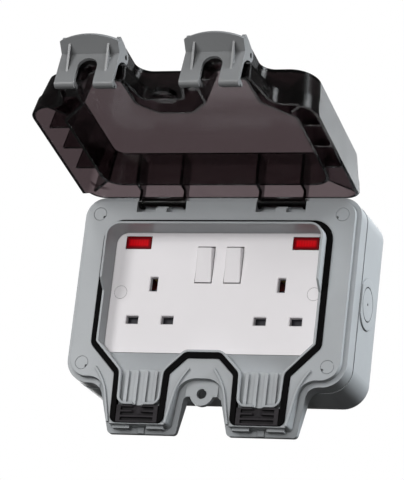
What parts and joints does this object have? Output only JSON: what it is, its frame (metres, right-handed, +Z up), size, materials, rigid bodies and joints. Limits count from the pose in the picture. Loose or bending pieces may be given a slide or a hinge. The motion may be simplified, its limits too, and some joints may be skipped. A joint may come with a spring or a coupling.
{
  "type": "outdoor weatherproof socket",
  "caption": "Outdoor wall socket with a hinged smoky lid, arched side-by-side latches, rubber seals, cable chutes at the bottom and a switched twin outlet with red indicators inside.",
  "frame": {"origin": "middle of the flat back on the wall, level with the socket's two fixing screws", "axes": "+X to the right as seen from the front, +Y into the wall, +Z up"},
  "size_m": [0.1752, 0.1949, 0.19],
  "materials": {
    "grey_plastic": "fine moulded texture",
    "white_plastic": "smooth, light gloss",
    "smoke_plastic": "smoky see-through, glossy",
    "black_rubber": "matt",
    "red_lens": "translucent red",
    "lamp_glass": "clear",
    "brass": "rolled strip",
    "plated_steel": "zinc plated"
  },
  "bodies": {
    "box": {"back_box": "grey_plastic", "box_seal": "black_rubber", "front_frame": "grey_plastic", "frame_screws": "plated_steel", "screw_caps": "grey_plastic", "lid_gasket": "black_rubber", "cable_seal_left": "black_rubber", "cable_seal_right": "black_rubber", "socket_plate": "white_plastic", "module_housing": "white_plastic", "module_screws": "plated_steel", "module_screw_covers": "white_plastic", "neon_lens_left": "red_lens", "neon_lens_right": "red_lens", "neon_lamp_left": "lamp_glass", "neon_lamp_right": "lamp_glass", "shutter_spring_left": "plated_steel", "shutter_spring_right": "plated_steel", "live_contact_left": "brass", "live_contact_right": "brass", "neutral_bar": "brass", "earth_bar": "brass", "live_terminal": "brass", "neutral_terminal": "brass", "earth_terminal": "brass", "terminal_screws": "plated_steel"},
    "lid": {"lid": "smoke_plastic", "latch_pin_left": "plated_steel", "latch_pin_right": "plated_steel"},
    "latch_left": {"latch_left": "grey_plastic"},
    "latch_right": {"latch_right": "grey_plastic"},
    "rocker_left": {"rocker_left": "white_plastic"},
    "rocker_right": {"rocker_right": "white_plastic"},
    "shutter_left": {"shutter_left": "white_plastic"},
    "shutter_right": {"shutter_right": "white_plastic"}
  },
  "joints": [
    {"name": "lid_hinge", "type": "hinge", "parent": "box", "child": "lid", "pos_m": [0, -0.0465, 0.0545], "axis": [1, 0, 0], "range_deg": [0, 99.8]},
    {"name": "latch_left_pivot", "type": "hinge", "parent": "lid", "child": "latch_left", "pos_m": [-0.037, -0.17732, 0.09496], "axis": [1, 0, 0], "range_deg": [-50, 6.5]},
    {"name": "latch_right_pivot", "type": "hinge", "parent": "lid", "child": "latch_right", "pos_m": [0.037, -0.17732, 0.09496], "axis": [1, 0, 0], "range_deg": [-50, 6.5]},
    {"name": "rocker_left_pivot", "type": "hinge", "parent": "box", "child": "rocker_left", "pos_m": [-0.00903, -0.0392, 0.01745], "axis": [1, 0, 0], "range_deg": [-18, 0]},
    {"name": "rocker_right_pivot", "type": "hinge", "parent": "box", "child": "rocker_right", "pos_m": [0.00903, -0.0392, 0.01745], "axis": [1, 0, 0], "range_deg": [-18, 0]},
    {"name": "shutter_left_slide", "type": "slide", "parent": "box", "child": "shutter_left", "axis": [0, 0, -1], "range_m": [0, 0.0066], "stiffness_N_per_m": 80, "springref_m": -0.005, "deforming": ["shutter_spring_left"]},
    {"name": "shutter_right_slide", "type": "slide", "parent": "box", "child": "shutter_right", "axis": [0, 0, -1], "range_m": [0, 0.0066], "stiffness_N_per_m": 80, "springref_m": -0.005, "deforming": ["shutter_spring_right"]}
  ]
}
